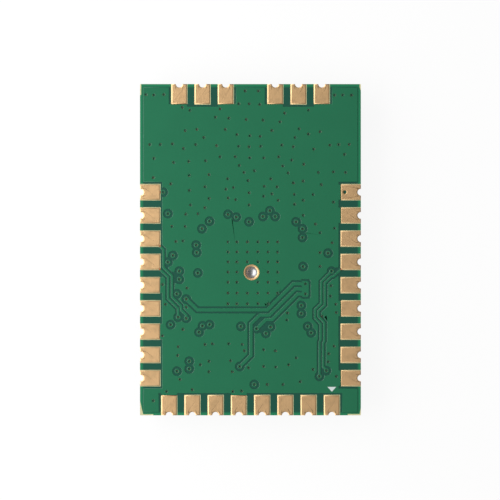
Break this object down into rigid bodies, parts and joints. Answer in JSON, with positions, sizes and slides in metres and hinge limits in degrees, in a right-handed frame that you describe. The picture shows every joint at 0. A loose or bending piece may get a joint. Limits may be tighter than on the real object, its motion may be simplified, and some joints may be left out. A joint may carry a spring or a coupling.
{
  "type": "surface-mount wifi module",
  "caption": "Flat radio module: green circuit board with gold castellated edge pads and a plated centre hole, lying pads up on its closed shield can.",
  "frame": {"origin": "middle of the shield cover's flat outer face, which is the underside as the module lies here", "axes": "+Z out of the pad side, +Y along the board towards the antenna pads, +X to the right seen from the pad side. In use the module is turned over, so that its pads lie on the host board and the shield is on top."},
  "size_m": [0.019, 0.0286, 0.0029],
  "materials": {
    "laminate": "glass-fibre laminate, pale yellow-green, satin",
    "bare_copper": "etched copper under the mask",
    "gold_plating": "matte immersion gold with a fine grain",
    "solder": "reflowed solder, bright",
    "green_mask": "glossy green solder mask, darker over bare laminate",
    "white_ink": "printed ink",
    "shield_metal": "tinned sheet steel, satin",
    "chip_resin": "black moulded resin",
    "tinned_contact": "matte tin",
    "dark_ceramic": "fired black ceramic",
    "white_ceramic": "fired white ceramic",
    "tan_ceramic": "fired tan ceramic",
    "blue_ceramic": "fired blue ceramic"
  },
  "bodies": {
    "root": {"board_core": "laminate", "ground_copper": "bare_copper", "signal_traces": "bare_copper", "via_lands": "bare_copper", "left_edge_pads": "gold_plating", "right_edge_pads": "gold_plating", "bottom_edge_pads": "gold_plating", "left_antenna_pads": "gold_plating", "right_antenna_pads": "gold_plating", "via_barrels": "bare_copper", "centre_hole_barrel": "gold_plating", "centre_solder_plug": "solder", "pad_side_solder_mask": "green_mask", "pin_one_mark": "white_ink", "component_side_copper": "bare_copper", "component_side_solder_mask": "green_mask", "shield_frame": "shield_metal", "shield_frame_solder": "solder", "shield_cover": "shield_metal", "wifi_chip_body": "chip_resin", "wifi_chip_contacts": "tinned_contact", "wifi_chip_thermal_pad": "tinned_contact", "crystal_base": "dark_ceramic", "crystal_contacts": "gold_plating", "crystal_lid": "shield_metal", "front_end_bodies": "chip_resin", "front_end_contacts": "gold_plating", "antenna_filter_bodies": "white_ceramic", "antenna_filter_terminals": "tinned_contact", "power_inductor_bodies": "dark_ceramic", "power_inductor_terminals": "tinned_contact", "radio_coil_bodies": "blue_ceramic", "radio_coil_terminals": "tinned_contact", "capacitor_bodies": "tan_ceramic", "capacitor_terminals": "tinned_contact", "resistor_bodies": "dark_ceramic", "resistor_terminals": "tinned_contact", "solder_joints": "solder"}
  },
  "joints": []
}
